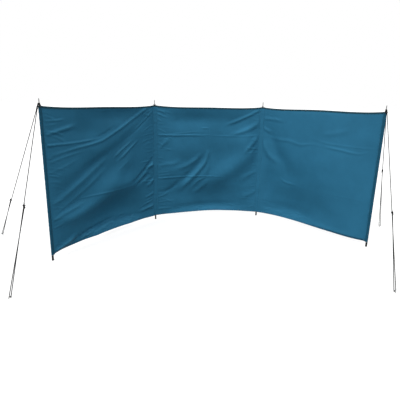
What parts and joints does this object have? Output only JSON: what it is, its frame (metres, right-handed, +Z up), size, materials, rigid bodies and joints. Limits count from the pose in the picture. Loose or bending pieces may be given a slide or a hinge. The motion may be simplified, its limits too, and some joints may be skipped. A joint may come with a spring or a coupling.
{
  "type": "beach windbreak",
  "caption": "Beach windbreak: tall cloth bays on upright poles set in a shallow arc, the end poles guyed by ropes with runners to wire pegs.",
  "frame": {"origin": "middle of the ground face of the left inner pole's foot", "axes": "+X along the middle bay from the left inner pole to the right inner pole; +Y out of the back, windward side, so the hollow sheltered side faces -Y; +Z up"},
  "size_m": [4.3348, 1.8183, 1.4458],
  "materials": {
    "cloth": "woven polyester, creased",
    "hem_cloth": "folded and stitched polyester",
    "pocket_cloth": "double layer of polyester, stitched",
    "tube_steel": "zinc-plated tube",
    "spike_steel": "turned steel",
    "eyelet_steel": "pressed steel",
    "foot_plastic": "moulded, matte",
    "webbing": "woven webbing",
    "rope": "braided cord",
    "runner_plastic": "moulded, satin",
    "peg_steel": "zinc-plated wire"
  },
  "bodies": {
    "root": {"left_end_pole": "tube_steel", "left_end_foot": "foot_plastic", "left_end_spike": "spike_steel", "left_end_eyelet": "eyelet_steel", "left_end_strap": "webbing", "left_end_pocket": "pocket_cloth", "left_inner_pole": "tube_steel", "left_inner_foot": "foot_plastic", "left_inner_spike": "spike_steel", "left_inner_eyelet": "eyelet_steel", "left_inner_strap": "webbing", "left_inner_pocket": "pocket_cloth", "right_inner_pole": "tube_steel", "right_inner_foot": "foot_plastic", "right_inner_spike": "spike_steel", "right_inner_eyelet": "eyelet_steel", "right_inner_strap": "webbing", "right_inner_pocket": "pocket_cloth", "right_end_pole": "tube_steel", "right_end_foot": "foot_plastic", "right_end_spike": "spike_steel", "right_end_eyelet": "eyelet_steel", "right_end_strap": "webbing", "right_end_pocket": "pocket_cloth", "left_panel": "cloth", "left_top_hem": "hem_cloth", "left_bottom_hem": "hem_cloth", "middle_panel": "cloth", "middle_top_hem": "hem_cloth", "middle_bottom_hem": "hem_cloth", "right_panel": "cloth", "right_top_hem": "hem_cloth", "right_bottom_hem": "hem_cloth", "left_back_guy": "rope", "left_back_runner": "runner_plastic", "left_back_peg": "peg_steel", "left_front_guy": "rope", "left_front_runner": "runner_plastic", "left_front_peg": "peg_steel", "right_back_guy": "rope", "right_back_runner": "runner_plastic", "right_back_peg": "peg_steel", "right_front_guy": "rope", "right_front_runner": "runner_plastic", "right_front_peg": "peg_steel"}
  },
  "joints": []
}
